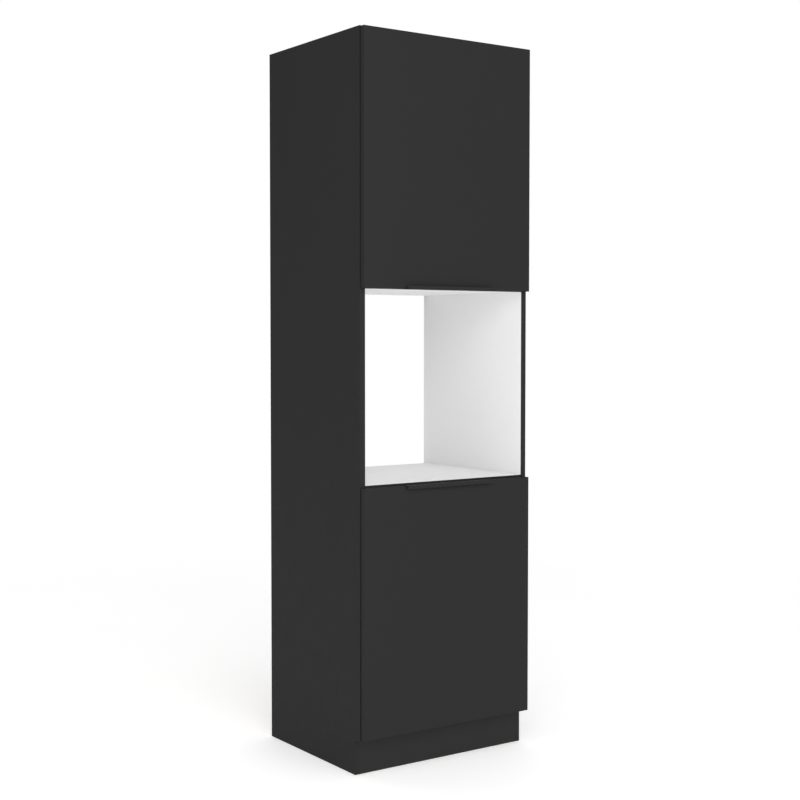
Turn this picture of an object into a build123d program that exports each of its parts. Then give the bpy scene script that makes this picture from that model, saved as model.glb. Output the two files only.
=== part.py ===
"""Tall oven cabinet: a floor-standing kitchen tower with an open niche for a
built-in oven between two hinged doors.

Frame: millimetres, +Z up, +X to the right seen from the front, +Y to the back.
The origin is on the floor under the middle of the overall width and depth.
"""
from build123d import *
import os

os.makedirs("parts", exist_ok=True)

# ------------------------------------------------------------------ dimensions
W = 600.0            # overall width
H = 2100.0           # overall height
D = 500.0            # carcass depth, front edge of the sides to their back edge
T = 18.0             # carcass board
BAND = 0.5           # edge band on board edges
DOOR_T = 16.0        # door board, bands included
DOOR_GAP = 2.5       # air between carcass front and door back
DOOR_INSET = 2.3     # door edge to carcass side face
UD_Z0, UD_Z1 = 1376.5, 2098.0      # upper door, bottom and top
LD_Z0, LD_Z1 = 106.0, 817.0        # lower door
HANDLE_PROJ = 13.0   # handle lip in front of the door face
HANDLE_L = 312.0
HANDLE_T = 1.5
LIP_H = 10.0
HANDLE_LEG = 25.0
GLIDE_T = 1.5        # floor glide under the sides
TOE_Y, TOE_Z = 24.7, 100.0         # toe recess, depth and height
PLINTH_T = 15.0
HZ_D = 482.0         # depth of the fixed horizontals
BOTTOM_Z = TOE_Z                   # underside of each fixed horizontal
OVEN_SHELF_Z = 805.5
OVEN_CEIL_Z = 1375.2
TOP_Z = H - T
SHELF_T = 15.0
LOWER_SHELF_Z = 455.0
UPPER_SHELF_Z = 1731.0
SHELF_SIDE = 1.5     # play of a loose shelf at each side
SHELF_SET = 25.0     # loose shelf set back from the front
BACK_T = 3.0         # hardboard back
GROOVE_W, GROOVE_D = 3.2, 8.0
PIN_R, PIN_DEPTH = 2.5, 10.0       # shelf pin hole
PIN_STEPS = (-64.0, 0.0, 64.0)     # spare shelf heights
CAM_R, CAM_H, CAM_IN = 7.5, 12.5, 34.0
DOWEL_R = 4.0
CAM_Y = (60.0, 420.0)
DOWEL_Y = (92.0, 388.0)

# hinge, in plan: u is measured inward from the right side's inner face,
# v forward from the carcass front edge
HINGE_A = (12.7, -24.3)   # outer link on the arm
HINGE_B = (6.9, -2.6)     # inner link on the arm
HINGE_C = (-9.5, 5.1)     # outer link in the cup
HINGE_D = (-6.8, 11.5)    # inner link in the cup (open eye)
CUP_EDGE = 3.0            # wood left between door edge and cup hole
CUP_R = 17.5
CUP_DEPTH = 12.5
HINGE_IN = 100.0          # hinge height from a door's end
RIVET_R = 1.1
RUN = 0.05                # radial running clearance of a rivet

DEPTH = D + DOOR_GAP + DOOR_T + HANDLE_PROJ
YF = -DEPTH / 2 + HANDLE_PROJ + DOOR_T + DOOR_GAP   # carcass front plane
XI = W / 2 - T                                       # inner face of the sides
DOOR_Y1 = YF - DOOR_GAP            # door back face
DOOR_Y0 = DOOR_Y1 - DOOR_T         # door front face
DX = W / 2 - DOOR_INSET            # door half width
FIXED = {"bottom_panel": BOTTOM_Z, "oven_shelf": OVEN_SHELF_Z,
         "oven_ceiling": OVEN_CEIL_Z, "top_panel": TOP_Z}
CAM_UP = {"bottom_panel": False, "oven_shelf": False,
          "oven_ceiling": True, "top_panel": True}
UPPER_HINGE_Z = (UD_Z0 + HINGE_IN, UD_Z1 - HINGE_IN)
LOWER_HINGE_Z = (LD_Z0 + HINGE_IN, LD_Z1 - HINGE_IN)


def U(u):
    return XI - u


def V(v):
    return YF - v


# ------------------------------------------------------- fastener templates
# Each points down: head's top face at z = 0, shank along -Z.
def csk_screw(head_r, head_h, shank_r, length, recess=True):
    with BuildPart() as s:
        with BuildSketch(Plane.XZ):
            with BuildLine():
                Polyline((0, 0), (head_r, 0), (head_r, -0.3), (shank_r, -head_h),
                         (shank_r, -length + shank_r), (0.2, -length),
                         (0, -length), (0, 0))
            make_face()
        revolve(axis=Axis.Z)
        if recess:
            with BuildSketch(Plane.XY):
                Rectangle(head_r * 1.1, head_r * 0.24)
                Rectangle(head_r * 0.24, head_r * 1.1)
            extrude(amount=-head_h * 0.6, mode=Mode.SUBTRACT)
    return s.part


def pan_screw(head_r, head_h, shank_r, length, recess=True):
    with BuildPart() as s:
        with BuildSketch(Plane.XZ):
            with BuildLine():
                Polyline((0, 0), (head_r * 0.75, 0), (head_r, -head_h * 0.45),
                         (head_r, -head_h), (shank_r, -head_h),
                         (shank_r, -length + shank_r), (0.2, -length),
                         (0, -length), (0, 0))
            make_face()
        revolve(axis=Axis.Z)
        if recess:
            with BuildSketch(Plane.XY):
                Rectangle(head_r * 1.0, head_r * 0.22)
                Rectangle(head_r * 0.22, head_r * 1.0)
            extrude(amount=-head_h * 0.6, mode=Mode.SUBTRACT)
    return s.part


def cutter(head_r, head_h, shank_r, length, cone):
    """Room for a screw: its own outline, a hair larger."""
    with BuildPart() as s:
        with BuildSketch(Plane.XZ):
            with BuildLine():
                if cone:
                    Polyline((0, 3), (head_r + 0.08, 3), (head_r + 0.08, -0.35),
                             (shank_r + 0.06, -head_h - 0.06),
                             (shank_r + 0.06, -length - 0.6),
                             (0, -length - 0.6), (0, 3))
                else:
                    Polyline((0, 3), (shank_r + 0.06, 3),
                             (shank_r + 0.06, -length - 0.6),
                             (0, -length - 0.6), (0, 3))
            make_face()
        revolve(axis=Axis.Z)
    return s.part


TO_PX, TO_MX = (0, -90, 0), (0, 90, 0)      # shank towards +X, -X
TO_MY, TO_PY = (-90, 0, 0), (90, 0, 0)      # shank towards -Y, +Y
TO_PZ, TO_MZ = (180, 0, 0), (0, 0, 0)

cup_screw = csk_screw(3.2, 1.7, 1.5, 11.5)
cup_cut = cutter(3.2, 1.7, 1.5, 11.5, True)
plate_screw = pan_screw(3.9, 2.2, 2.5, 12.5)
plate_cut = cutter(3.9, 2.2, 2.5, 12.5, False)
small_screw = pan_screw(3.1, 1.8, 1.6, 13.0)
small_cut = cutter(3.1, 1.8, 1.6, 13.0, False)
back_screw = pan_screw(3.6, 1.3, 1.5, 17.0)
back_cut = cutter(3.6, 1.3, 1.5, 17.0, False)
handle_screw = csk_screw(2.9, 1.3, 1.4, 11.0)
handle_cut = cutter(2.9, 1.3, 1.4, 11.0, True)

CUP_U = -(T - DOOR_INSET) + CUP_EDGE + CUP_R       # cup centre, u
CUP_SCREW_U = CUP_U + 9.5


def cup_screw_locs(zs):
    return [Location((U(CUP_SCREW_U), V(1.5), z + s * 22.5), TO_MY)
            for z in zs for s in (-1, 1)]


def plate_screw_locs(zs):
    return [Location((U(4.4), V(-37.0), z + s * 16.0), TO_PX)
            for z in zs for s in (-1, 1)]


def handle_screw_locs(z):
    return [Location((x, V(1.0), z), TO_MY) for x in (-128.0, 0.0, 128.0)]


BACK_SCREWS = [Location((x, YF + HZ_D + BACK_T + 1.3, z + T / 2), TO_MY)
               for z in FIXED.values() for x in (-230.0, 0.0, 230.0)]
WALL_X = (-215.0, 215.0)
WALL_SCREWS = [Location((x, YF + HZ_D - 20.0, TOP_Z - 2.0 - 1.8), TO_PZ)
               for x in WALL_X]
PLINTH_X = (-190.0, 190.0)
PLINTH_SCREWS_UP = [Location((x, YF + TOE_Y + PLINTH_T + 18.0, TOE_Z - 2.0 - 1.8), TO_PZ)
                    for x in PLINTH_X]
PLINTH_SCREWS_FWD = [Location((x, YF + TOE_Y + PLINTH_T + 2.0 + 1.8, TOE_Z - 22.0), TO_MY)
                     for x in PLINTH_X]
UH_SCREWS = handle_screw_locs(UD_Z0 + 14.0)
LH_SCREWS = handle_screw_locs(LD_Z1 - 14.0)


# ------------------------------------------------------------- side panels
def pin_points():
    pts = []
    for base in (LOWER_SHELF_Z, UPPER_SHELF_Z):
        for step in PIN_STEPS:
            for y in (SHELF_SET + 45.0, 430.0):
                pts.append((YF + y, base - 5.0 + step))
    return pts


def bolt_points():
    return [(YF + y, z + T / 2) for z in FIXED.values() for y in CAM_Y]


def dowel_points():
    pts = [(YF + y, z + T / 2) for z in FIXED.values() for y in DOWEL_Y]
    return pts + [(YF + TOE_Y + PLINTH_T / 2, z) for z in (30.0, 72.0)]


def side_panel(sign):
    x0 = -W / 2 if sign < 0 else XI
    inner = Plane.YZ.offset(sign * XI)
    into = sign
    with BuildPart() as panel:
        with BuildSketch(Plane.YZ.offset(x0)):
            with BuildLine():
                Polyline((YF + TOE_Y + BAND, GLIDE_T), (YF + D, GLIDE_T),
                         (YF + D, H), (YF + BAND, H), (YF + BAND, TOE_Z),
                         (YF + TOE_Y + BAND, TOE_Z),
                         (YF + TOE_Y + BAND, GLIDE_T))
            make_face()
        extrude(amount=T)
        # grooves for the two backs, stopped at the oven niche
        with BuildSketch(inner):
            for z0, z1 in ((TOE_Z, OVEN_SHELF_Z + T - 1.5), (OVEN_CEIL_Z + 1.5, H)):
                with Locations((YF + HZ_D + BACK_T / 2, (z0 + z1) / 2)):
                    Rectangle(GROOVE_W, z1 - z0)
        extrude(amount=into * GROOVE_D, mode=Mode.SUBTRACT)
        with BuildSketch(inner):
            with Locations(*pin_points()):
                Circle(PIN_R)
            with Locations(*bolt_points()):
                Circle(2.55)
        extrude(amount=into * (PIN_DEPTH + 1.0), mode=Mode.SUBTRACT)
        with BuildSketch(inner):
            with Locations(*dowel_points()):
                Circle(DOWEL_R + 0.05)
        extrude(amount=into * 11.0, mode=Mode.SUBTRACT)
        # nails of the glides
        with BuildSketch(Plane.XY.offset(GLIDE_T)):
            with Locations(*[(x0 + T / 2, YF + y) for y in (62.0, 438.0)]):
                Circle(1.05)
        extrude(amount=15.0, mode=Mode.SUBTRACT)
        if sign > 0:
            with Locations(*plate_screw_locs(UPPER_HINGE_Z + LOWER_HINGE_Z)):
                add(plate_cut, mode=Mode.SUBTRACT)
    return panel


side_panel_left = side_panel(-1)
side_panel_left.part.label = "side_panel_left"
export_step(side_panel_left.part, "parts/side_panel_left.step")

side_panel_right = side_panel(1)
side_panel_right.part.label = "side_panel_right"
export_step(side_panel_right.part, "parts/side_panel_right.step")


# -------------------------------------------------------- fixed horizontals
def fixed_board(name):
    z0 = FIXED[name]
    cam_plane = Plane.XY.offset(z0 + T if CAM_UP[name] else z0)
    into = -1 if CAM_UP[name] else 1
    with BuildPart() as board:
        with BuildSketch(Plane.XY.offset(z0)):
            with Locations((0, YF + (BAND + HZ_D) / 2)):
                Rectangle(2 * XI, HZ_D - BAND)
        extrude(amount=T)
        with BuildSketch(cam_plane):
            with Locations(*[(sx * (XI - CAM_IN), YF + y) for sx in (-1, 1) for y in CAM_Y]):
                Circle(CAM_R + 0.05)
        extrude(amount=into * (CAM_H + 0.3), mode=Mode.SUBTRACT)
        for sx in (-1, 1):
            with BuildSketch(Plane.YZ.offset(sx * XI)):
                with Locations(*[(YF + y, z0 + T / 2) for y in CAM_Y]):
                    Circle(3.7)
            extrude(amount=-sx * CAM_IN, mode=Mode.SUBTRACT)
            with BuildSketch(Plane.YZ.offset(sx * XI)):
                with Locations(*[(YF + y, z0 + T / 2) for y in DOWEL_Y]):
                    Circle(DOWEL_R + 0.05)
            extrude(amount=-sx * 21.0, mode=Mode.SUBTRACT)
        with Locations(*[l for l in BACK_SCREWS if abs(l.position.Z - z0 - T / 2) < 1]):
            add(back_cut, mode=Mode.SUBTRACT)
        if name == "top_panel":
            with Locations(*WALL_SCREWS):
                add(small_cut, mode=Mode.SUBTRACT)
        if name == "bottom_panel":
            with Locations(*PLINTH_SCREWS_UP):
                add(small_cut, mode=Mode.SUBTRACT)
    return board


bottom_panel = fixed_board("bottom_panel")
bottom_panel.part.label = "bottom_panel"
export_step(bottom_panel.part, "parts/bottom_panel.step")

oven_shelf = fixed_board("oven_shelf")
oven_shelf.part.label = "oven_shelf"
export_step(oven_shelf.part, "parts/oven_shelf.step")

oven_ceiling = fixed_board("oven_ceiling")
oven_ceiling.part.label = "oven_ceiling"
export_step(oven_ceiling.part, "parts/oven_ceiling.step")

top_panel = fixed_board("top_panel")
top_panel.part.label = "top_panel"
export_step(top_panel.part, "parts/top_panel.step")


# ------------------------------------------------------------ loose shelves
def loose_shelf(z0):
    with BuildPart() as shelf:
        with BuildSketch(Plane.XY.offset(z0)):
            with Locations((0, YF + (SHELF_SET + BAND + HZ_D - 2.0) / 2)):
                Rectangle(2 * (XI - SHELF_SIDE), HZ_D - 2.0 - SHELF_SET - BAND)
        extrude(amount=SHELF_T)
    return shelf


lower_shelf = loose_shelf(LOWER_SHELF_Z)
lower_shelf.part.label = "lower_shelf"
export_step(lower_shelf.part, "parts/lower_shelf.step")

upper_shelf = loose_shelf(UPPER_SHELF_Z)
upper_shelf.part.label = "upper_shelf"
export_step(upper_shelf.part, "parts/upper_shelf.step")


# -------------------------------------------------------------------- backs
def back_panel(z0, z1, screw_z, wall):
    with BuildPart() as back:
        with BuildSketch(Plane.XY.offset(z0)):
            with Locations((0, YF + HZ_D + BACK_T / 2)):
                Rectangle(2 * (XI + GROOVE_D - 0.5), BACK_T)
        extrude(amount=z1 - z0)
        locs = [l for l in BACK_SCREWS if z0 < l.position.Z < z1]
        with Locations(*locs):
            add(back_cut, mode=Mode.SUBTRACT)
        if wall:
            with BuildSketch(Plane.XZ.offset(-(YF + HZ_D - 1.0))):
                with Locations(*[(x, TOP_Z - 22.0) for x in WALL_X]):
                    Circle(5.0)
            extrude(amount=-(BACK_T + 2.0), mode=Mode.SUBTRACT)
    return back


lower_back_panel = back_panel(TOE_Z + 2.0, OVEN_SHELF_Z + T - 2.0, None, False)
lower_back_panel.part.label = "lower_back_panel"
export_step(lower_back_panel.part, "parts/lower_back_panel.step")

upper_back_panel = back_panel(OVEN_CEIL_Z + 2.0, H - 2.0, None, True)
upper_back_panel.part.label = "upper_back_panel"
export_step(upper_back_panel.part, "parts/upper_back_panel.step")

# ------------------------------------------------------------------- plinth
with BuildPart() as plinth_board:
    with BuildSketch(Plane.XY.offset(GLIDE_T)):
        with Locations((0, YF + TOE_Y + PLINTH_T / 2)):
            Rectangle(2 * XI, PLINTH_T)
    extrude(amount=TOE_Z - GLIDE_T)
    for sx in (-1, 1):
        with BuildSketch(Plane.YZ.offset(sx * XI)):
            with Locations(*[(YF + TOE_Y + PLINTH_T / 2, z) for z in (30.0, 72.0)]):
                Circle(DOWEL_R + 0.05)
        extrude(amount=-sx * 21.0, mode=Mode.SUBTRACT)
    with Locations(*PLINTH_SCREWS_FWD):
        add(small_cut, mode=Mode.SUBTRACT)
plinth_board.part.label = "plinth_board"
export_step(plinth_board.part, "parts/plinth_board.step")

# --------------------------------------------------------------- edge bands
with BuildPart() as carcass_edge_bands:
    with BuildSketch(Plane.XZ.offset(-YF)):
        with Locations((-(W - T) / 2, (TOE_Z + H) / 2), ((W - T) / 2, (TOE_Z + H) / 2)):
            Rectangle(T, H - TOE_Z)
        for z in FIXED.values():
            with Locations((0, z + T / 2)):
                Rectangle(2 * XI - 0.1, T)
    extrude(amount=-BAND)
    with BuildSketch(Plane.XZ.offset(-(YF + TOE_Y))):
        with Locations((-(W - T) / 2, (TOE_Z + GLIDE_T) / 2), ((W - T) / 2, (TOE_Z + GLIDE_T) / 2)):
            Rectangle(T, TOE_Z - GLIDE_T)
    extrude(amount=-BAND)
carcass_edge_bands.part.label = "carcass_edge_bands"
export_step(carcass_edge_bands.part, "parts/carcass_edge_bands.step")

with BuildPart() as shelf_edge_bands:
    with BuildSketch(Plane.XZ.offset(-(YF + SHELF_SET))):
        with Locations((0, LOWER_SHELF_Z + SHELF_T / 2), (0, UPPER_SHELF_Z + SHELF_T / 2)):
            Rectangle(2 * (XI - SHELF_SIDE), SHELF_T)
    extrude(amount=-BAND)
shelf_edge_bands.part.label = "shelf_edge_bands"
export_step(shelf_edge_bands.part, "parts/shelf_edge_bands.step")

# ------------------------------------------------------- cams, bolts, dowels
with BuildPart() as cam_locks:
    for name, z0 in FIXED.items():
        up = CAM_UP[name]
        zc0 = z0 + T - CAM_H if up else z0
        for sx in (-1, 1):
            for y in CAM_Y:
                with BuildSketch(Plane.XY.offset(zc0)):
                    with Locations((sx * (XI - CAM_IN), YF + y)):
                        Circle(CAM_R)
                extrude(amount=CAM_H)
                # room for the bolt's head, open towards the board's end
                with BuildSketch(Plane.XY.offset(z0 + T / 2 - 3.9)):
                    with Locations((sx * (XI - CAM_IN + 3.0), YF + y)):
                        Rectangle(14.0, 7.8)
                extrude(amount=7.8, mode=Mode.SUBTRACT)
                # driver cross on the open face
                with BuildSketch(Plane.XY.offset(z0 + T if up else z0)):
                    with Locations((sx * (XI - CAM_IN), YF + y)):
                        Rectangle(8.0, 1.4)
                        Rectangle(1.4, 8.0)
                extrude(amount=-1.6 if up else 1.6, mode=Mode.SUBTRACT)
cam_locks.part.label = "cam_locks"
export_step(cam_locks.part, "parts/cam_locks.step")

with BuildPart() as cam_bolts:
    for sx in (-1, 1):
        with BuildSketch(Plane.YZ.offset(sx * (XI + 10.0))):
            with Locations(*bolt_points()):
                Circle(2.5)
        extrude(amount=-sx * 10.0)
        with BuildSketch(Plane.YZ.offset(sx * XI)):
            with Locations(*bolt_points()):
                Circle(3.1)
        extrude(amount=-sx * 29.0)
        with BuildSketch(Plane.YZ.offset(sx * (XI - 29.0))):
            with Locations(*bolt_points()):
                Circle(2.1)
        extrude(amount=-sx * 3.0)
        with BuildSketch(Plane.YZ.offset(sx * (XI - 32.0))):
            with Locations(*bolt_points()):
                Circle(3.4)
        extrude(amount=-sx * 3.0)
cam_bolts.part.label = "cam_bolts"
export_step(cam_bolts.part, "parts/cam_bolts.step")

with BuildPart() as dowels:
    for sx in (-1, 1):
        with BuildSketch(Plane.YZ.offset(sx * (XI + 10.0))):
            with Locations(*dowel_points()):
                Circle(DOWEL_R)
        extrude(amount=-sx * 30.0)
    chamfer(dowels.faces().filter_by(Axis.X).edges(), length=0.8)
dowels.part.label = "dowels"
export_step(dowels.part, "parts/dowels.step")

# --------------------------------------------------------------- shelf pins
with BuildPart() as shelf_pins:
    for base in (LOWER_SHELF_Z, UPPER_SHELF_Z):
        for sx in (-1, 1):
            for y in (SHELF_SET + 45.0, 430.0):
                with BuildSketch(Plane.YZ.offset(sx * XI)):
                    with Locations((YF + y, base - 5.0)):
                        Circle(PIN_R - 0.05)
                extrude(amount=sx * (PIN_DEPTH - 0.5))
                with BuildSketch(Plane.YZ.offset(sx * XI)):
                    with Locations((YF + y, base - 5.5)):
                        RectangleRounded(10.0, 11.0, 2.0)
                extrude(amount=-sx * 1.2)
                with BuildSketch(Plane.XY.offset(base - 2.0)):
                    with Locations((sx * (XI - 5.0), YF + y)):
                        Rectangle(10.0, 9.0)
                extrude(amount=2.0)
shelf_pins.part.label = "shelf_pins"
export_step(shelf_pins.part, "parts/shelf_pins.step")

# ------------------------------------------------------------------- glides
with BuildPart() as glides:
    for sx in (-1, 1):
        for y in (62.0, 438.0):
            with BuildSketch(Plane.XY):
                with Locations((sx * (W - T) / 2, YF + y)):
                    Circle(8.0)
            extrude(amount=GLIDE_T)
            with BuildSketch(Plane.XY.offset(GLIDE_T)):
                with Locations((sx * (W - T) / 2, YF + y)):
                    Circle(1.0)
            extrude(amount=14.0)
    chamfer(glides.faces().sort_by(Axis.Z)[:4].edges(), length=0.5)
glides.part.label = "glides"
export_step(glides.part, "parts/glides.step")

# ----------------------------------------------------------------- brackets
with BuildPart() as wall_brackets:
    for x in WALL_X:
        with BuildSketch(Plane.YZ.offset(x - 11.0)):
            with BuildLine():
                Polyline((YF + HZ_D, TOP_Z), (YF + HZ_D, TOP_Z - 34.0),
                         (YF + HZ_D - 2.0, TOP_Z - 34.0),
                         (YF + HZ_D - 2.0, TOP_Z - 2.0),
                         (YF + HZ_D - 34.0, TOP_Z - 2.0),
                         (YF + HZ_D - 34.0, TOP_Z), (YF + HZ_D, TOP_Z))
            make_face()
        extrude(amount=22.0)
    with BuildSketch(Plane.XZ.offset(-(YF + HZ_D + 1.0))):
        with Locations(*[(x, TOP_Z - 22.0) for x in WALL_X]):
            Circle(3.25)
    extrude(amount=6.0, mode=Mode.SUBTRACT)
    with Locations(*WALL_SCREWS):
        add(small_cut, mode=Mode.SUBTRACT)
wall_brackets.part.label = "wall_brackets"
export_step(wall_brackets.part, "parts/wall_brackets.step")

with BuildPart() as plinth_brackets:
    for x in PLINTH_X:
        y0 = YF + TOE_Y + PLINTH_T
        with BuildSketch(Plane.YZ.offset(x - 11.0)):
            with BuildLine():
                Polyline((y0, TOE_Z), (y0, TOE_Z - 34.0), (y0 + 2.0, TOE_Z - 34.0),
                         (y0 + 2.0, TOE_Z - 2.0), (y0 + 34.0, TOE_Z - 2.0),
                         (y0 + 34.0, TOE_Z), (y0, TOE_Z))
            make_face()
        extrude(amount=22.0)
    with Locations(*(PLINTH_SCREWS_UP + PLINTH_SCREWS_FWD)):
        add(small_cut, mode=Mode.SUBTRACT)
plinth_brackets.part.label = "plinth_brackets"
export_step(plinth_brackets.part, "parts/plinth_brackets.step")

with BuildPart() as bracket_screws:
    with Locations(*(WALL_SCREWS + PLINTH_SCREWS_UP + PLINTH_SCREWS_FWD)):
        add(small_screw)
bracket_screws.part.label = "bracket_screws"
export_step(bracket_screws.part, "parts/bracket_screws.step")

with BuildPart() as back_panel_screws:
    with Locations(*BACK_SCREWS):
        add(back_screw)
back_panel_screws.part.label = "back_panel_screws"
export_step(back_panel_screws.part, "parts/back_panel_screws.step")


# -------------------------------------------------------------------- doors
def door(z0, z1, hinge_z, handle_locs):
    with BuildPart() as board:
        with BuildSketch(Plane.XZ.offset(-DOOR_Y0)):
            with Locations((0, (z0 + z1) / 2)):
                Rectangle(2 * (DX - BAND), z1 - z0 - 2 * BAND)
        extrude(amount=-DOOR_T)
        with BuildSketch(Plane.XZ.offset(-DOOR_Y1)):
            with Locations(*[(U(CUP_U), z) for z in hinge_z]):
                Circle(CUP_R)
        extrude(amount=CUP_DEPTH, mode=Mode.SUBTRACT)
        with Locations(*cup_screw_locs(hinge_z)):
            add(cup_cut, mode=Mode.SUBTRACT)
        with Locations(*handle_locs):
            add(handle_cut, mode=Mode.SUBTRACT)
    return board


def door_bands(z0, z1):
    with BuildPart() as bands:
        with BuildSketch(Plane.XZ.offset(-DOOR_Y0)):
            with Locations((0, (z0 + z1) / 2)):
                Rectangle(2 * DX, z1 - z0)
                Rectangle(2 * (DX - BAND), z1 - z0 - 2 * BAND, mode=Mode.SUBTRACT)
        extrude(amount=-DOOR_T)
        chamfer(bands.faces().sort_by(Axis.Y)[0].outer_wire().edges(), length=0.35)
    return bands


upper_door = door(UD_Z0, UD_Z1, UPPER_HINGE_Z, UH_SCREWS)
upper_door.part.label = "upper_door"
export_step(upper_door.part, "parts/upper_door.step")

lower_door = door(LD_Z0, LD_Z1, LOWER_HINGE_Z, LH_SCREWS)
lower_door.part.label = "lower_door"
export_step(lower_door.part, "parts/lower_door.step")

upper_door_edge_bands = door_bands(UD_Z0, UD_Z1)
upper_door_edge_bands.part.label = "upper_door_edge_bands"
export_step(upper_door_edge_bands.part, "parts/upper_door_edge_bands.step")

lower_door_edge_bands = door_bands(LD_Z0, LD_Z1)
lower_door_edge_bands.part.label = "lower_door_edge_bands"
export_step(lower_door_edge_bands.part, "parts/lower_door_edge_bands.step")


# ------------------------------------------------------------------ handles
def handle(z, up, locs):
    """z is the door's edge; up is 1 where the profile wraps a bottom edge."""
    y0 = DOOR_Y0 - HANDLE_PROJ
    y1 = DOOR_Y1 + HANDLE_T
    t = HANDLE_T * up
    with BuildPart() as pull:
        with BuildSketch(Plane.YZ.offset(-HANDLE_L / 2)):
            with BuildLine():
                Polyline((y0, z - t), (y1, z - t), (y1, z + up * (HANDLE_LEG - HANDLE_T)),
                         (y1 - HANDLE_T, z + up * (HANDLE_LEG - HANDLE_T)),
                         (y1 - HANDLE_T, z), (y0 + HANDLE_T, z),
                         (y0 + HANDLE_T, z + up * (LIP_H - HANDLE_T)),
                         (y0, z + up * (LIP_H - HANDLE_T)), (y0, z - t))
            make_face()
        extrude(amount=HANDLE_L)
        long_edges = pull.edges().filter_by(Axis.X)
        nose = [e for e in long_edges
                if abs(e.center().Y - y0) < 0.01 and abs(e.center().Z - z + t) < 0.01]
        fillet(nose, radius=1.2)
        tip = [e for e in pull.edges().filter_by(Axis.X)
               if e.center().Y < y0 + HANDLE_T + 0.01
               and abs(e.center().Z - z - up * (LIP_H - HANDLE_T)) < 0.01]
        fillet(tip, radius=0.5)
        with Locations(*locs):
            add(handle_cut, mode=Mode.SUBTRACT)
    return pull


upper_handle = handle(UD_Z0, 1, UH_SCREWS)
upper_handle.part.label = "upper_handle"
export_step(upper_handle.part, "parts/upper_handle.step")

lower_handle = handle(LD_Z1, -1, LH_SCREWS)
lower_handle.part.label = "lower_handle"
export_step(lower_handle.part, "parts/lower_handle.step")

with BuildPart() as upper_handle_screws:
    with Locations(*UH_SCREWS):
        add(handle_screw)
upper_handle_screws.part.label = "upper_handle_screws"
export_step(upper_handle_screws.part, "parts/upper_handle_screws.step")

with BuildPart() as lower_handle_screws:
    with Locations(*LH_SCREWS):
        add(handle_screw)
lower_handle_screws.part.label = "lower_handle_screws"
export_step(lower_handle_screws.part, "parts/lower_handle_screws.step")


# ------------------------------------------------------------- door bumpers
def bumpers(z0, z1):
    with BuildPart() as pads:
        with BuildSketch(Plane.XZ.offset(-DOOR_Y1)):
            with Locations((-(W - T) / 2, z0 + 20.0), (-(W - T) / 2, z1 - 20.0)):
                Circle(4.0)
        extrude(amount=-2.1)
        chamfer(pads.faces().sort_by(Axis.Y)[-2:].edges(), length=0.8)
    return pads


upper_door_bumpers = bumpers(UD_Z0, UD_Z1)
upper_door_bumpers.part.label = "upper_door_bumpers"
export_step(upper_door_bumpers.part, "parts/upper_door_bumpers.step")

lower_door_bumpers = bumpers(LD_Z0, LD_Z1)
lower_door_bumpers.part.label = "lower_door_bumpers"
export_step(lower_door_bumpers.part, "parts/lower_door_bumpers.step")


# ------------------------------------------------------------------- hinges
CUP_RIVETS = ((HINGE_C, 8.0), (HINGE_D, 11.7))   # half lengths


def hinge_cups(zs):
    """Pressed steel cup with its flange, let into the door's back."""
    with BuildPart() as cups:
        for z in zs:
            with BuildSketch(Plane.XZ.offset(-DOOR_Y1)):
                with Locations((U(CUP_U), z)):
                    Circle(CUP_R - 0.1)
            extrude(amount=12.0)
            # flange
            with BuildSketch(Plane.XZ.offset(-(DOOR_Y1 + 1.0))):
                with Locations((U(CUP_U), z)):
                    Circle(CUP_R + 0.9)
                with Locations((U(CUP_SCREW_U - 2.0), z)):
                    RectangleRounded(14.0, 58.0, 4.0)
            extrude(amount=1.0)
            with BuildSketch(Plane.XZ.offset(-(DOOR_Y1 + 1.0))):
                with Locations((U(CUP_U), z)):
                    Circle(CUP_R - 0.9)
            extrude(amount=12.2, mode=Mode.SUBTRACT)
            # rivet seats in the cup's wall
            for (u, v), half in CUP_RIVETS:
                with BuildSketch(Plane.XY.offset(z - half - 0.1)):
                    with Locations((U(u), V(v))):
                        Circle(RIVET_R + 0.02)
                extrude(amount=2 * half + 0.2, mode=Mode.SUBTRACT)
        with Locations(*cup_screw_locs(zs)):
            add(cup_cut, mode=Mode.SUBTRACT)
    return cups


def hinge_cup_pins(zs):
    with BuildPart() as pins:
        for z in zs:
            for (u, v), half in CUP_RIVETS:
                with BuildSketch(Plane.XY.offset(z - half)):
                    with Locations((U(u), V(v))):
                        Circle(RIVET_R)
                extrude(amount=2 * half)
    return pins


def path_face(points, half, eyes):
    """Sketch a strap that follows points in plan, with an eye at some ends."""
    for (u0, v0), (u1, v1) in zip(points[:-1], points[1:]):
        a, b = Vector(U(u0), V(v0)), Vector(U(u1), V(v1))
        SlotCenterPoint(center=(a + b) * 0.5, point=b, height=2 * half)
    for (u, v), r in eyes:
        with Locations((U(u), V(v))):
            Circle(r)


OUTER_PATH = [HINGE_C, (-6.5, 7.2), (-2.5, 8.6), (0.8, 7.4), (3.2, 4.0),
              (4.0, -2.0), (7.0, -12.0), HINGE_A]
INNER_PATH = [(-3.9, 10.95), (-3.3, 12.3), (-1.8, 12.6), (2.2, 12.6), (5.2, 10.6),
              (7.0, 6.5), (7.2, 2.0), HINGE_B]
HOOK = [(-5.9, 9.84), (-3.9, 10.95), (-4.8, 12.65)]
CHEEK = (4.0, 5.4)        # the inner link's cheeks, from the hinge's middle


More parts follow.
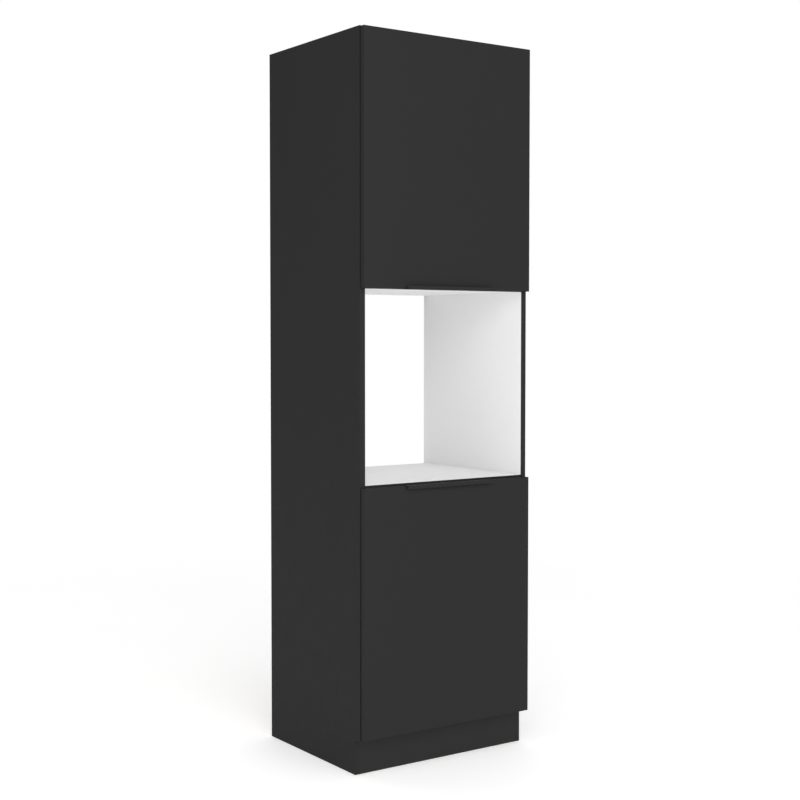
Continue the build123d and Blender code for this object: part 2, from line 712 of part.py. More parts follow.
def outer_links(zs):
    """Long cranked strap with a hub between the arm's walls."""
    with BuildPart() as links:
        for z in zs:
            with BuildSketch(Plane.XY.offset(z - 3.6)):
                path_face(OUTER_PATH, 1.0, [(HINGE_C, 1.75)])
            extrude(amount=7.2)
            with BuildSketch(Plane.XY.offset(z - 6.7)):
                with Locations((U(HINGE_A[0]), V(HINGE_A[1]))):
                    Circle(2.3)
            extrude(amount=13.4)
            with BuildSketch(Plane.XY.offset(z - 8.0)):
                with Locations((U(HINGE_C[0]), V(HINGE_C[1])), (U(HINGE_A[0]), V(HINGE_A[1]))):
                    Circle(RIVET_R + RUN)
            extrude(amount=16.0, mode=Mode.SUBTRACT)
    return links


def inner_links(zs):
    """Short link: two cheeks astride the long one, hooked behind the cup's rivet."""
    with BuildPart() as links:
        for z in zs:
            for z0 in (z + CHEEK[0], z - CHEEK[1]):
                with BuildSketch(Plane.XY.offset(z0)):
                    path_face(INNER_PATH, 0.65, [(HINGE_B, 2.1)])
                    path_face(HOOK, 0.5, [])
                extrude(amount=CHEEK[1] - CHEEK[0])
            with BuildSketch(Plane.XY.offset(z - 8.0)):
                with Locations((U(HINGE_B[0]), V(HINGE_B[1]))):
                    Circle(RIVET_R + RUN)
            extrude(amount=16.0, mode=Mode.SUBTRACT)
    return links


def hinge_plates(zs):
    """Cross-shaped mounting plate on the side's inner face."""
    with BuildPart() as plates:
        for z in zs:
            with BuildSketch(Plane.YZ.offset(XI)):
                with Locations((V(-37.0), z)):
                    RectangleRounded(14.0, 46.0, 5.0)
                with Locations((V(-46.0), z)):
                    Rectangle(36.0, 12.4)
            extrude(amount=-2.2)
            with BuildSketch(Plane.YZ.offset(XI - 2.2)):
                with Locations((V(-46.0), z)):
                    RectangleRounded(32.0, 11.6, 2.0)
            extrude(amount=-11.6)
            # threaded hole of the arm's screw
            with BuildSketch(Plane.YZ.offset(XI)):
                with Locations((V(-54.0), z)):
                    Circle(2.1)
            extrude(amount=-20.0, mode=Mode.SUBTRACT)
        with Locations(*plate_screw_locs(zs)):
            add(plate_cut, mode=Mode.SUBTRACT)
    return plates


ARM_W, ARM_WALL = 7.0, 1.2      # inner half width and wall of the arm
ARM_U0, ARM_U1 = 4.4, 15.6      # free edge of the walls, inside of the web


def hinge_arms(zs):
    """Channel-shaped arm, open towards the side panel."""
    with BuildPart() as arms:
        for z in zs:
            with BuildSketch(Plane.XY.offset(z - ARM_W - ARM_WALL)):
                with BuildLine():
                    Polyline((U(ARM_U0), V(-0.3)), (U(ARM_U1 - 2.5), V(-0.3)),
                             (U(ARM_U1 + ARM_WALL), V(-4.5)),
                             (U(ARM_U1 + ARM_WALL), V(-66.0)),
                             (U(ARM_U0), V(-66.0)), (U(ARM_U0), V(-0.3)))
                make_face()
            extrude(amount=2 * (ARM_W + ARM_WALL))
            with BuildSketch(Plane.XY.offset(z - ARM_W)):
                with BuildLine():
                    Polyline((U(0.0), V(2.0)), (U(ARM_U1), V(2.0)),
                             (U(ARM_U1), V(-70.0)), (U(0.0), V(-70.0)),
                             (U(0.0), V(2.0)))
                make_face()
            extrude(amount=2 * ARM_W, mode=Mode.SUBTRACT)
            with BuildSketch(Plane.XY.offset(z - 10.0)):
                with Locations((U(HINGE_A[0]), V(HINGE_A[1])), (U(HINGE_B[0]), V(HINGE_B[1]))):
                    Circle(RIVET_R + 0.02)
            extrude(amount=20.0, mode=Mode.SUBTRACT)
            # adjusting slot in the web under the clamping screw
            with BuildSketch(Plane.YZ.offset(XI - ARM_U1 + 1.0)):
                with Locations((V(-54.0), z)):
                    SlotOverall(8.0, 4.4)
            extrude(amount=-4.0, mode=Mode.SUBTRACT)
    return arms


def hinge_arm_pins(zs):
    """One rivet right through for the long link, two short ones for the cheeks."""
    with BuildPart() as pins:
        for z in zs:
            with BuildSketch(Plane.XY.offset(z - 8.2)):
                with Locations((U(HINGE_A[0]), V(HINGE_A[1]))):
                    Circle(RIVET_R)
            extrude(amount=16.4)
            for up in (1, -1):
                with BuildSketch(Plane.XY.offset(z + up * 3.9)):
                    with Locations((U(HINGE_B[0]), V(HINGE_B[1]))):
                        Circle(RIVET_R)
                extrude(amount=up * 4.3)
                with BuildSketch(Plane.XY.offset(z + up * 8.2)):
                    with Locations((U(HINGE_A[0]), V(HINGE_A[1])), (U(HINGE_B[0]), V(HINGE_B[1]))):
                        Circle(1.8)
                extrude(amount=0.6 * up)
    return pins


def screws_at(template, locs):
    with BuildPart() as group:
        with Locations(*locs):
            add(template)
    return group


HINGE_SETS = (("upper", UPPER_HINGE_Z), ("lower", LOWER_HINGE_Z))
for prefix, zs in HINGE_SETS:
    cups = hinge_cups(zs)
    cups.part.label = prefix + "_hinge_cups"
    export_step(cups.part, "parts/" + prefix + "_hinge_cups.step")

    cup_pins = hinge_cup_pins(zs)
    cup_pins.part.label = prefix + "_hinge_cup_pins"
    export_step(cup_pins.part, "parts/" + prefix + "_hinge_cup_pins.step")

    cup_screws = screws_at(cup_screw, cup_screw_locs(zs))
    cup_screws.part.label = prefix + "_hinge_cup_screws"
    export_step(cup_screws.part, "parts/" + prefix + "_hinge_cup_screws.step")

    outer = outer_links(zs)
    outer.part.label = prefix + "_hinge_outer_links"
    export_step(outer.part, "parts/" + prefix + "_hinge_outer_links.step")

    inner = inner_links(zs)
    inner.part.label = prefix + "_hinge_inner_links"
    export_step(inner.part, "parts/" + prefix + "_hinge_inner_links.step")

    plates = hinge_plates(zs)
    plates.part.label = prefix + "_hinge_plates"
    export_step(plates.part, "parts/" + prefix + "_hinge_plates.step")

    arms = hinge_arms(zs)
    arms.part.label = prefix + "_hinge_arms"
    export_step(arms.part, "parts/" + prefix + "_hinge_arms.step")

    arm_pins = hinge_arm_pins(zs)
    arm_pins.part.label = prefix + "_hinge_arm_pins"
    export_step(arm_pins.part, "parts/" + prefix + "_hinge_arm_pins.step")

    plate_screws = screws_at(plate_screw, plate_screw_locs(zs))
    plate_screws.part.label = prefix + "_hinge_plate_screws"
    export_step(plate_screws.part, "parts/" + prefix + "_hinge_plate_screws.step")

# clamping screws that hold the arms on their plates
with BuildPart() as hinge_arm_screws:
    for z in UPPER_HINGE_Z + LOWER_HINGE_Z:
        with BuildSketch(Plane.YZ.offset(XI - ARM_U1 - ARM_WALL)):
            with Locations((V(-54.0), z)):
                Circle(3.6)
        extrude(amount=-1.8)
        with BuildSketch(Plane.YZ.offset(XI - ARM_U1 - ARM_WALL)):
            with Locations((V(-54.0), z)):
                Circle(2.05)
        extrude(amount=12.0)
        with BuildSketch(Plane.YZ.offset(XI - ARM_U1 - ARM_WALL - 1.8)):
            with Locations((V(-54.0), z)):
                Rectangle(4.4, 0.9)
                Rectangle(0.9, 4.4)
        extrude(amount=1.2, mode=Mode.SUBTRACT)
hinge_arm_screws.part.label = "hinge_arm_screws"
export_step(hinge_arm_screws.part, "parts/hinge_arm_screws.step")
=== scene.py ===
"""Looks of the tall oven cabinet: finishes, edges, floor, light and camera."""
import math

import bpy
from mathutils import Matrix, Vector


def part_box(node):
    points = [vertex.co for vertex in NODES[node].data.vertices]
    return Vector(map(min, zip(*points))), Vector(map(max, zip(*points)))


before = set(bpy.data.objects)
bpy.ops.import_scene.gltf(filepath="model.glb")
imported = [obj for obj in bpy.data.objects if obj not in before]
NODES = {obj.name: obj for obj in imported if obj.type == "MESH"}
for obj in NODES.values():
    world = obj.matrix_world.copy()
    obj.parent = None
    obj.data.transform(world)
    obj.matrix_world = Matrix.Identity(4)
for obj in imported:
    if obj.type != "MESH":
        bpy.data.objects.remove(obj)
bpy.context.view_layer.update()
scene = bpy.context.scene

MM = 0.001


# --------------------------------------------------------------- node helpers
class Tree:
    """A material's node tree, with short calls for the nodes used here."""

    def __init__(self, name):
        self.mat = bpy.data.materials.new(name)
        self.mat.use_nodes = True
        self.t = self.mat.node_tree
        self.t.nodes.clear()
        self.out = self.t.nodes.new("ShaderNodeOutputMaterial")
        tc = self.t.nodes.new("ShaderNodeTexCoord")
        self.obj = tc.outputs["Object"]
        self.sep = None

    def new(self, kind, **props):
        n = self.t.nodes.new("ShaderNode" + kind)
        for k, v in props.items():
            setattr(n, k, v)
        return n

    def put(self, socket, value):
        if isinstance(value, bpy.types.NodeSocket):
            self.t.links.new(value, socket)
        elif isinstance(value, tuple) and len(value) == 3 and socket.type == "RGBA":
            socket.default_value = (*value, 1.0)
        else:
            socket.default_value = value

    def math(self, op, a, b=0.0, c=0.0, clamp=False):
        n = self.new("Math", operation=op, use_clamp=clamp)
        self.put(n.inputs[0], a)
        self.put(n.inputs[1], b)
        if op in ("MULTIPLY_ADD", "COMPARE", "SMOOTH_MIN", "SMOOTH_MAX"):
            self.put(n.inputs[2], c)
        return n.outputs[0]

    def xyz(self):
        if self.sep is None:
            self.sep = self.new("SeparateXYZ")
            self.t.links.new(self.obj, self.sep.inputs[0])
        return self.sep.outputs

    def scaled(self, scale, offset=(0, 0, 0)):
        """Object position, per metre, stretched by a scale on each axis."""
        m = self.new("Mapping")
        self.put(m.inputs["Vector"], self.obj)
        m.inputs["Scale"].default_value = scale
        m.inputs["Location"].default_value = offset
        return m.outputs[0]

    def noise(self, vec, scale=1.0, detail=2.0, rough=0.5, distort=0.0, color=False):
        n = self.new("TexNoise")
        self.put(n.inputs["Vector"], vec)
        n.inputs["Scale"].default_value = scale
        n.inputs["Detail"].default_value = detail
        n.inputs["Roughness"].default_value = rough
        n.inputs["Distortion"].default_value = distort
        return n.outputs["Color" if color else "Fac"]

    def voronoi(self, vec, scale=1.0, feature="F1", out="Color", rand=1.0):
        n = self.new("TexVoronoi", feature=feature)
        self.put(n.inputs["Vector"], vec)
        n.inputs["Scale"].default_value = scale
        n.inputs["Randomness"].default_value = rand
        return n.outputs[out]

    def cells(self, vec):
        """(colour, distance) of the nearest cell."""
        n = self.new("TexVoronoi", feature="F1")
        self.put(n.inputs["Vector"], vec)
        n.inputs["Scale"].default_value = 1.0
        return n.outputs["Color"], n.outputs["Distance"]

    def ramp(self, fac, stops, interp="LINEAR"):
        n = self.new("ValToRGB")
        self.put(n.inputs[0], fac)
        r = n.color_ramp
        r.interpolation = interp
        while len(r.elements) < len(stops):
            r.elements.new(0.5)
        for e, (p, c) in zip(r.elements, stops):
            e.position = p
            e.color = (*c, 1.0) if isinstance(c, tuple) else (c, c, c, 1.0)
        return n.outputs[0]

    def remap(self, fac, lo, hi, a, b, smooth=False):
        n = self.new("MapRange", interpolation_type="SMOOTHSTEP" if smooth else "LINEAR")
        self.put(n.inputs[0], fac)
        for i, v in enumerate((lo, hi, a, b)):
            self.put(n.inputs[i + 1], v)
        return n.outputs[0]

    def mix(self, fac, a, b, kind="RGBA", blend="MIX"):
        n = self.new("Mix", data_type=kind)
        if kind == "RGBA":
            n.blend_type = blend
        i = {"FLOAT": (2, 3, 0), "VECTOR": (4, 5, 1), "RGBA": (6, 7, 2)}[kind]
        self.put(n.inputs[0], fac)
        self.put(n.inputs[i[0]], a)
        self.put(n.inputs[i[1]], b)
        return n.outputs[i[2]]

    def bump(self, height, depth, strength=1.0, normal=None):
        """depth: the real height in metres of a height of 1."""
        n = self.new("Bump")
        n.inputs["Strength"].default_value = strength
        n.inputs["Distance"].default_value = depth
        self.put(n.inputs["Height"], height)
        if normal is not None:
            self.put(n.inputs["Normal"], normal)
        return n.outputs[0]

    def shader(self, color, rough, metal=0.0, normal=None, **consts):
        n = self.new("BsdfPrincipled")
        self.put(n.inputs["Base Color"], color)
        self.put(n.inputs["Roughness"], rough)
        self.put(n.inputs["Metallic"], metal)
        if normal is not None:
            self.put(n.inputs["Normal"], normal)
        for k, v in consts.items():
            n.inputs[k.replace("_", " ").replace("Ior", "IOR")].default_value = v
        self.t.links.new(n.outputs[0], self.out.inputs[0])
        return n


# ------------------------------------------------------------ surface recipes
# Each returns (colour, roughness, height in metres) sockets.
GRAPHITE = (0.0184, 0.0184, 0.0184)
# The plinth's graphite is the fronts' décor made a little lighter, as painted light against the shade under the
# doors.
PLINTH_PAINTED_LIGHT = (0.0203, 0.0203, 0.0203)


def graphite(t, base=GRAPHITE):
    """Super-matt laminate: hair-fine pearl, slow drift of tone, faint handling."""
    slow = t.noise(t.scaled((2.3, 2.3, 1.1)), 1.0, 3.0, 0.55)
    cloud = t.noise(t.scaled((31, 31, 24)), 1.0, 4.0, 0.6)
    speck = t.noise(t.scaled((2600, 2600, 2600)), 1.0, 1.0, 0.5)
    tone = t.remap(slow, 0.3, 0.7, 0.975, 1.025)
    tone = t.math("MULTIPLY", tone, t.remap(cloud, 0.3, 0.7, 0.985, 1.015))
    tone = t.math("MULTIPLY", tone, t.remap(speck, 0.3, 0.7, 0.94, 1.06))
    col = t.mix(1.0, base, t.new_rgb(tone), blend="MULTIPLY")
    rough = t.remap(cloud, 0.25, 0.75, 0.60, 0.68)
    rough = t.math("ADD", rough, t.remap(slow, 0.3, 0.7, -0.02, 0.02))
    pearl = t.noise(t.scaled((1500, 1500, 1500)), 1.0, 1.0, 0.6)
    return col, rough, t.math("MULTIPLY", pearl, 0.000016)


def white(t, base=(0.83, 0.83, 0.83)):
    """White melamine with its pearl emboss."""
    slow = t.noise(t.scaled((3.1, 3.1, 3.1)), 1.0, 3.0, 0.5)
    cloud = t.noise(t.scaled((45, 45, 45)), 1.0, 3.0, 0.6)
    tone = t.remap(slow, 0.3, 0.7, 0.988, 1.008)
    tone = t.math("MULTIPLY", tone, t.remap(cloud, 0.3, 0.7, 0.994, 1.004))
    col = t.mix(1.0, base, t.new_rgb(tone), blend="MULTIPLY")
    rough = t.remap(cloud, 0.3, 0.7, 0.54, 0.62)
    pearl = t.noise(t.scaled((1100, 1100, 1100)), 1.0, 1.0, 0.6)
    return col, rough, t.math("MULTIPLY", pearl, 0.000014)


def chipboard(t, axis, lo, hi):
    """Raw board core: coarse flakes in the middle, fine dust at both faces.
    Flakes lie flat, so they are thin across the board (along axis)."""
    mid, half = (lo + hi) / 2, (hi - lo) / 2
    thin = {"X": (3.2, 1, 1), "Y": (1, 3.2, 1), "Z": (1, 1, 3.2)}[axis]
    coarse_v = t.scaled(tuple(260 * s for s in thin))
    warp = t.noise(t.scaled((180, 180, 180)), 1.0, 2.0, 0.5, color=True)
    n = t.new("VectorMath", operation="MULTIPLY_ADD")
    t.put(n.inputs[0], warp)
    n.inputs[1].default_value = (0.9, 0.9, 0.9)
    t.put(n.inputs[2], coarse_v)
    flakes, edges = t.cells(n.outputs[0])
    fine_v = t.scaled(tuple(1150 * s for s in (thin[0] ** 0.5, thin[1] ** 0.5, thin[2] ** 0.5)))
    dust = t.voronoi(fine_v, 1.0)
    pick = t.new("SeparateColor")
    t.put(pick.inputs[0], flakes)
    tan = t.ramp(pick.outputs[0], [(0.0, (0.175, 0.105, 0.052)), (0.25, (0.30, 0.20, 0.112)),
                                   (0.55, (0.42, 0.30, 0.18)), (0.85, (0.54, 0.41, 0.27)),
                                   (1.0, (0.66, 0.54, 0.39))])
    grain = t.noise(t.scaled(tuple(900 / s for s in thin)), 1.0, 3.0, 0.6)
    tan = t.mix(1.0, tan, t.new_rgb(t.remap(grain, 0.3, 0.7, 0.82, 1.15)), blend="MULTIPLY")
    far = t.remap(edges, 0.48, 0.72, 0.0, 1.0, smooth=True)
    hole = t.math("MULTIPLY", far, t.remap(t.noise(t.scaled((90, 90, 90)), 1.0, 1.0), 0.42, 0.62, 0.0, 0.9))
    tan = t.mix(hole, tan, (0.06, 0.035, 0.018))
    pick2 = t.new("SeparateColor")
    t.put(pick2.inputs[0], dust)
    pale = t.ramp(pick2.outputs[0], [(0.0, (0.27, 0.18, 0.10)), (0.5, (0.42, 0.30, 0.185)),
                                     (1.0, (0.56, 0.44, 0.30))])
    coord = t.xyz()["XYZ".index(axis)]
    depth = t.math("DIVIDE", t.math("ABSOLUTE", t.math("SUBTRACT", coord, mid)), half)
    blur = t.math("ADD", depth, t.remap(t.noise(t.scaled((60, 60, 60)), 1.0, 2.0), 0.3, 0.7, -0.09, 0.09))
    skin = t.remap(blur, 0.62, 0.76, 0.0, 1.0)
    col = t.mix(skin, tan, pale)
    rel = t.mix(skin, t.math("MULTIPLY", far, -0.00030), t.math("MULTIPLY", pick2.outputs[1], 0.00003), kind="FLOAT")
    rough = t.remap(pick.outputs[1], 0.0, 1.0, 0.78, 0.95)
    return col, rough, rel


def hardboard(t):
    """Raw brown fibre board."""
    fib = t.noise(t.scaled((420, 420, 2300)), 1.0, 4.0, 0.65, 0.4)
    fib2 = t.noise(t.scaled((2100, 420, 380)), 1.0, 4.0, 0.65, 0.4)
    slow = t.noise(t.scaled((4, 4, 4)), 1.0, 3.0, 0.5)
    mixv = t.math("MULTIPLY", t.math("ADD", fib, fib2), 0.5)
    col = t.ramp(mixv, [(0.30, (0.098, 0.056, 0.031)), (0.47, (0.178, 0.108, 0.063)),
                        (0.56, (0.222, 0.140, 0.085)), (0.72, (0.35, 0.245, 0.165))])
    col = t.mix(1.0, col, t.new_rgb(t.remap(slow, 0.3, 0.7, 0.95, 1.04)), blend="MULTIPLY")
    rough = t.remap(mixv, 0.3, 0.7, 0.72, 0.88)
    return col, rough, t.math("MULTIPLY", mixv, 0.00004)


def new_rgb(t, value):
    n = t.new("CombineColor")
    for i in range(3):
        t.put(n.inputs[i], value)
    return n.outputs[0]


Tree.new_rgb = new_rgb


def blend3(t, mask, a, b):
    """b where mask is 1, else a, for (colour, roughness, height)."""
    return (t.mix(mask, a[0], b[0]), t.mix(mask, a[1], b[1], kind="FLOAT"),
            t.mix(mask, a[2], b[2], kind="FLOAT"))


SKIN = 0.00028          # how thick the decor layer looks at a cut edge


def board_material(name, axis, lo, hi, low_face, high_face, core=None, spec=0.10):
    """Core with a decor layer on its two faces."""
    t = Tree(name)
    inner = core(t) if core else chipboard(t, axis, lo, hi)
    coord = t.xyz()["XYZ".index(axis)]
    if low_face is high_face:
        out = t.math("ABSOLUTE", t.math("SUBTRACT", coord, (lo + hi) / 2))
        res = blend3(t, t.math("GREATER_THAN", out, (hi - lo) / 2 - SKIN), inner, low_face(t))
    else:
        res = blend3(t, t.math("LESS_THAN", coord, lo + SKIN), inner, low_face(t))
        res = blend3(t, t.math("GREATER_THAN", coord, hi - SKIN), res, high_face(t))
    t.shader(res[0], res[1], normal=t.bump(res[2], 1.0), Specular_Ior_Level=spec)
    return t.mat


def plain_material(name, recipe, **consts):
    t = Tree(name)
    col, rough, height = recipe(t)
    t.shader(col, rough, normal=t.bump(height, 1.0), **consts)
    return t.mat


def band_recipe(base):
    """Edge band: drawn lengthwise, with faint scraper marks across."""
    def make(t):
        line = t.noise(t.scaled((900, 900, 6)), 1.0, 3.0, 0.6)
        mark = t.noise(t.scaled((40, 40, 420)), 1.0, 2.0, 0.5)
        tone = t.math("MULTIPLY", t.remap(line, 0.3, 0.7, 0.93, 1.07), t.remap(mark, 0.3, 0.7, 0.98, 1.02))
        col = t.mix(1.0, base, t.new_rgb(tone), blend="MULTIPLY")
        rough = t.remap(line, 0.3, 0.7, 0.50, 0.60)
        return col, rough, t.math("MULTIPLY", t.math("ADD", line, mark), 0.000006)
    return make


def anodised(t):
    """Black anodised profile, fine-brushed along its length (X)."""
    brush = t.noise(t.scaled((14, 5200, 5200)), 1.0, 3.0, 0.65)
    broad = t.noise(t.scaled((3, 700, 700)), 1.0, 2.0, 0.5)
    tone = t.math("MULTIPLY", t.remap(brush, 0.25, 0.75, 0.88, 1.12), t.remap(broad, 0.3, 0.7, 0.97, 1.03))
    col = t.mix(1.0, (0.0208, 0.0208, 0.0210), t.new_rgb(tone), blend="MULTIPLY")
    rough = t.remap(brush, 0.25, 0.75, 0.58, 0.68)
    return col, rough, t.math("MULTIPLY", brush, 0.000006)


def handle_material():
    t = Tree("anodised_black")
    col, rough, h = anodised(t)
    t.shader(col, rough, normal=t.bump(h, 1.0), Specular_Ior_Level=0.06)
    return t.mat


def metal_material(name, base, rough_lo, rough_hi, scratch=0.0000012, cast=0.0, dirt=0.06):
    """Plated or cast metal: rolling lines, cloudy plating, darker in the lows."""
    t = Tree(name)
    cloud = t.noise(t.scaled((140, 140, 140)), 1.0, 3.0, 0.5)
    lines = t.noise(t.scaled((5200, 5200, 240)), 1.0, 1.0, 0.6)
    pits = t.noise(t.scaled((1900, 1900, 1900)), 1.0, 1.0, 0.6)
    tone = t.math("MULTIPLY", t.remap(cloud, 0.3, 0.7, 1.0 - dirt, 1.0 + dirt * 0.5),
                  t.remap(lines, 0.3, 0.7, 0.96, 1.04))
    col = t.mix(1.0, base, t.new_rgb(tone), blend="MULTIPLY")
    rough = t.remap(t.math("MULTIPLY", t.math("ADD", cloud, lines), 0.5), 0.3, 0.7, rough_lo, rough_hi)
    h = t.math("ADD", t.math("MULTIPLY", lines, scratch), t.math("MULTIPLY", pits, cast))
    t.shader(col, rough, 1.0, t.bump(h, 1.0))
    return t.mat


def beech_material():
    t = Tree("beech_dowel")
    grain = t.noise(t.scaled((60, 900, 900)), 1.0, 4.0, 0.6, 0.5)
    fleck = t.voronoi(t.scaled((250, 1500, 1500)), 1.0, "F1", "Distance")
    col = t.ramp(grain, [(0.3, (0.43, 0.26, 0.13)), (0.5, (0.56, 0.37, 0.20)), (0.7, (0.66, 0.46, 0.27))])
    col = t.mix(t.remap(fleck, 0.0, 0.25, 0.45, 0.0), col, (0.30, 0.16, 0.07))
    t.shader(col, t.remap(grain, 0.3, 0.7, 0.55, 0.7), normal=t.bump(grain, 0.00005))
    return t.mat


def plastic_material(name, base, rough_lo, rough_hi, **consts):
    t = Tree(name)
    cloud = t.noise(t.scaled((260, 260, 260)), 1.0, 3.0, 0.6)
    spark = t.noise(t.scaled((3200, 3200, 3200)), 1.0, 1.0, 0.5)
    tone = t.remap(cloud, 0.3, 0.7, 0.95, 1.05)
    col = t.mix(1.0, base, t.new_rgb(tone), blend="MULTIPLY")
    t.shader(col, t.remap(cloud, 0.3, 0.7, rough_lo, rough_hi),
             normal=t.bump(spark, 0.000012), **consts)
    return t.mat


# -------------------------------------------------------------- give finishes
def give(node, mat):
    ob = NODES[node]
    for s in ob.material_slots:
        s.link = "OBJECT"
        s.material = mat


def span(node, axis):
    lo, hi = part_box(node)
    i = "XYZ".index(axis)
    return lo[i], hi[i]


lo, hi = span("side_panel_left", "X")
give("side_panel_left", board_material("side_left_two_tone", "X", lo, hi, graphite, white))
lo, hi = span("side_panel_right", "X")
give("side_panel_right", board_material("side_right_two_tone", "X", lo, hi, white, graphite))
for n in ("top_panel", "bottom_panel", "oven_shelf", "oven_ceiling", "lower_shelf", "upper_shelf"):
    lo, hi = span(n, "Z")
    give(n, board_material(n + "_white", "Z", lo, hi, white, white, spec=0.05))
for n in ("lower_back_panel", "upper_back_panel"):
    lo, hi = span(n, "Y")
    give(n, board_material(n + "_hardboard", "Y", lo, hi, white, hardboard, core=hardboard))
lo, hi = span("plinth_board", "Y")
# The plinth's outer face gets the lightened graphite: painted light that offsets the shade under the doors.
give("plinth_board", board_material("plinth_graphite_painted_light", "Y", lo, hi, lambda t: graphite(t, PLINTH_PAINTED_LIGHT), graphite))
for n in ("upper_door", "lower_door"):
    lo, hi = span(n, "Y")
    give(n, board_material(n + "_front", "Y", lo, hi, graphite, graphite))

band = plain_material("graphite_band", band_recipe((0.0180, 0.0180, 0.0180)), Specular_Ior_Level=0.10)
for n in ("carcass_edge_bands", "upper_door_edge_bands", "lower_door_edge_bands"):
    give(n, band)
give("shelf_edge_bands", plain_material("white_band", band_recipe((0.79, 0.79, 0.79)), Specular_Ior_Level=0.4))

anod = handle_material()
for n in ("upper_handle", "lower_handle"):
    give(n, anod)

nickel = metal_material("nickel_plate", (0.60, 0.585, 0.555), 0.20, 0.32)
zincp = metal_material("zinc_plate", (0.56, 0.57, 0.585), 0.30, 0.44, dirt=0.10)
cast = metal_material("cast_zinc", (0.47, 0.475, 0.485), 0.38, 0.55, cast=0.00002, dirt=0.15)
for p in ("upper", "lower"):
    for n in ("hinge_cups", "hinge_arms", "hinge_plates", "hinge_outer_links", "hinge_inner_links",
              "hinge_arm_pins", "hinge_cup_pins"):
        give(f"{p}_{n}", nickel)
    for n in ("hinge_plate_screws", "hinge_cup_screws", "handle_screws"):
        give(f"{p}_{n}", zincp)
    give(p + "_door_bumpers", plastic_material(p + "_bumper", (0.72, 0.72, 0.71), 0.22, 0.34,
                                               Transmission_Weight=0.35))
for n in ("hinge_arm_screws", "back_panel_screws", "bracket_screws", "wall_brackets", "plinth_brackets",
          "cam_bolts", "shelf_pins"):
    give(n, zincp)
give("cam_locks", cast)
give("dowels", beech_material())
give("glides", plastic_material("glide_plastic", (0.045, 0.045, 0.046), 0.42, 0.55))


# ---------------------------------------------------------------- soft edges
def soften(node, width_mm, segments=2, angle=32.0):
    """Join the faces, round the sharp edges a little, and shade them evenly."""
    ob = NODES[node]
    w = ob.modifiers.new("join", "WELD")
    w.merge_threshold = 1e-6
    b = ob.modifiers.new("edge", "BEVEL")
    b.width = width_mm * MM
    b.segments = segments
    b.limit_method = "ANGLE"
    b.angle_limit = math.radians(angle)
    b.use_clamp_overlap = True
    b.miter_outer = "MITER_ARC"
    n = ob.modifiers.new("even", "WEIGHTED_NORMAL")
    n.keep_sharp = False
    n.weight = 80


for n in ("side_panel_left", "side_panel_right", "top_panel", "bottom_panel", "oven_shelf", "oven_ceiling",
          "plinth_board"):
    soften(n, 0.12)
for n in ("upper_handle", "lower_handle"):
    soften(n, 0.10, 2, 50)
for n in ("upper_door_edge_bands", "lower_door_edge_bands", "shelf_edge_bands"):
    soften(n, 0.14)

# ------------------------------------------------------------------- floor
def make_floor():
    t = Tree("studio_floor")
    x, y, z = t.xyz()
    r = t.math("SQRT", t.math("ADD", t.math("MULTIPLY", x, x), t.math("MULTIPLY", y, y)))
    far = t.remap(r, 1.6, 4.5, 0.0, 1.0, smooth=True)
    cloud = t.noise(t.scaled((1.3, 1.3, 1.3)), 1.0, 3.0, 0.5)
    col = t.mix(1.0, (0.93, 0.93, 0.93), t.new_rgb(t.remap(cloud, 0.3, 0.7, 0.99, 1.01)), blend="MULTIPLY")
    p = t.shader(col, 0.75, normal=t.bump(t.noise(t.scaled((700, 700, 700)), 1.0, 2.0), 0.00001),
                 Specular_Ior_Level=0.2)
    p.inputs["Emission Color"].default_value = (1, 1, 1, 1)
    p.inputs["Emission Strength"].default_value = 0.27
    glow = t.new("Emission")
    glow.inputs[0].default_value = (1, 1, 1, 1)
    m = t.new("MixShader")
    t.put(m.inputs[0], far)
    t.t.links.new(p.outputs[0], m.inputs[1])
    t.t.links.new(glow.outputs[0], m.inputs[2])
    t.t.links.new(m.outputs[0], t.out.inputs[0])
    me = bpy.data.meshes.new("floor")
    n, rings = 96, (0.0, 1.0, 3.0, 8.0, 30.0)
    verts = [(0, 0, 0)] + [(R * math.cos(2 * math.pi * i / n), R * math.sin(2 * math.pi * i / n), 0)
                           for R in rings[1:] for i in range(n)]
    faces = [(0, 1 + i, 1 + (i + 1) % n) for i in range(n)]
    for k in range(len(rings) - 2):
        a, b = 1 + k * n, 1 + (k + 1) * n
        faces += [(a + i, b + i, b + (i + 1) % n, a + (i + 1) % n) for i in range(n)]
    me.from_pydata(verts, [], faces)
    ob = bpy.data.objects.new("floor", me)
    me.materials.append(t.mat)
    scene.collection.objects.link(ob)


make_floor()

# ------------------------------------------------------------------- light
# Wide soft boxes far off: azimuth (0 in front, 90 on the right), height angle, strength.
SOFT = ((0, 12, 2.51), (90, 12, 0.30), (135, 12, 0.50), (315, 12, 0.33),
        (0, 50, 0.44), (90, 50, 0.40), (180, 50, 0.90), (0, 90, 0.20))
FILL = 0.10             # light from everywhere
world = bpy.data.worlds.new("studio")
world.use_nodes = True
wt = world.node_tree
wt.nodes.clear()


def wmath(op, a, b=0.0, c=0.0):
    n = wt.nodes.new("ShaderNodeMath")
    n.operation = op
    for i, v in enumerate((a, b, c)):
        if isinstance(v, bpy.types.NodeSocket):
            wt.links.new(v, n.inputs[i])
        else:
            n.inputs[i].default_value = v
    return n.outputs[0]


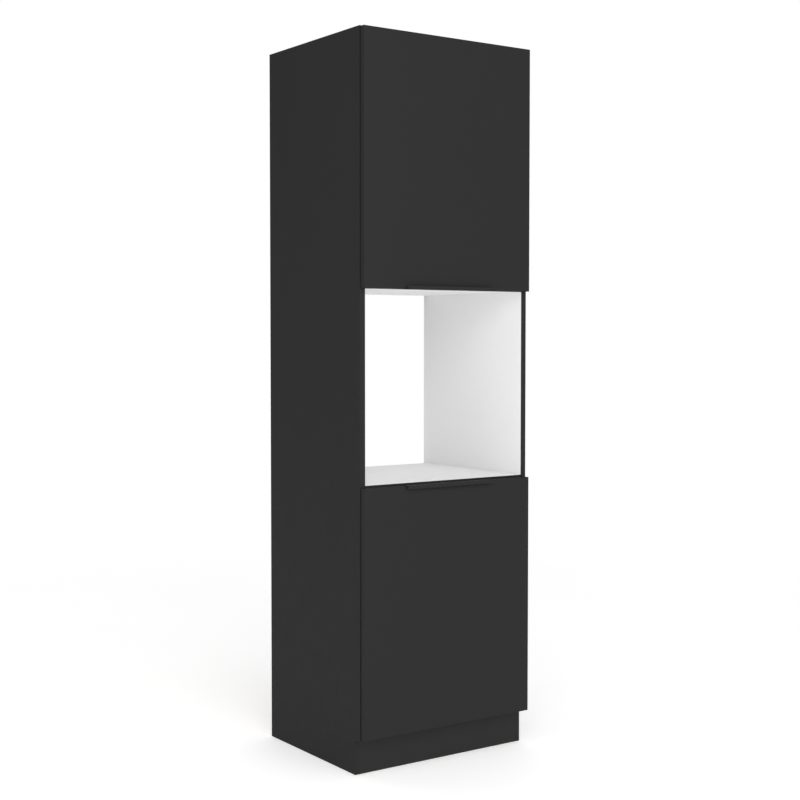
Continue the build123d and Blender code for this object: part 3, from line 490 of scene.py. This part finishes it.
ray = wt.nodes.new("ShaderNodeTexCoord").outputs["Generated"]
total = FILL
for az, el, power in SOFT:
    a, e = math.radians(az), math.radians(el)
    dot = wt.nodes.new("ShaderNodeVectorMath")
    dot.operation = "DOT_PRODUCT"
    wt.links.new(ray, dot.inputs[0])
    dot.inputs[1].default_value = (math.sin(a) * math.cos(e), -math.cos(a) * math.cos(e), math.sin(e))
    lobe = wmath("POWER", wmath("MAXIMUM", dot.outputs["Value"], 0.0), 6.0)
    total = wmath("MULTIPLY_ADD", lobe, power, total)
seen = wt.nodes.new("ShaderNodeLightPath").outputs["Is Camera Ray"]
plain = wt.nodes.new("ShaderNodeMix")
plain.data_type = "FLOAT"
wt.links.new(seen, plain.inputs[0])
wt.links.new(total, plain.inputs[2])
plain.inputs[3].default_value = 1.0
bg = wt.nodes.new("ShaderNodeBackground")
bg.inputs[0].default_value = (1, 1, 1, 1)
wt.links.new(plain.outputs[0], bg.inputs[1])
wo = wt.nodes.new("ShaderNodeOutputWorld")
wt.links.new(bg.outputs[0], wo.inputs[0])
scene.world = world


def area(name, loc, target, size, power):
    d = bpy.data.lights.new(name, "AREA")
    d.shape = "RECTANGLE"
    d.size, d.size_y = size
    d.energy = power
    o = bpy.data.objects.new(name, d)
    o.location = loc
    o.rotation_euler = (Vector(target) - Vector(loc)).to_track_quat("-Z", "Y").to_euler()
    o.visible_camera = False
    scene.collection.objects.link(o)
    return o


area("key", (-1.9, -3.0, 2.7), (0, -0.25, 1.4), (1.8, 1.8), 30)
area("low_key", (-1.3, -2.0, 1.4), (0, -0.25, 1.2), (1.2, 2.0), 6)
area("side", (-3.4, -0.4, 2.6), (-0.3, 0, 1.5), (1.8, 1.8), 24)
area("low_side", (-2.6, -1.5, 0.5), (0.1, -0.2, 1.4), (1.2, 0.8), 6)

# ------------------------------------------------------------------ camera
cam_data = bpy.data.cameras.new("camera")
cam = bpy.data.objects.new("camera", cam_data)
cam.location = (-2.44697, -3.50828, 1.24229)
cam.rotation_euler = (math.pi / 2 - 0.0386, 0.0, -0.6056)
cam_data.sensor_width = 36.0
cam_data.sensor_fit = "HORIZONTAL"
cam_data.lens = 1406.35 / 800 * 36.0
cam_data.shift_x = (400 - 395.14) / 800
cam_data.shift_y = -(400 - 390.57) / 800
scene.collection.objects.link(cam)
scene.camera = cam

scene.view_settings.view_transform = "Standard"
scene.view_settings.look = "None"
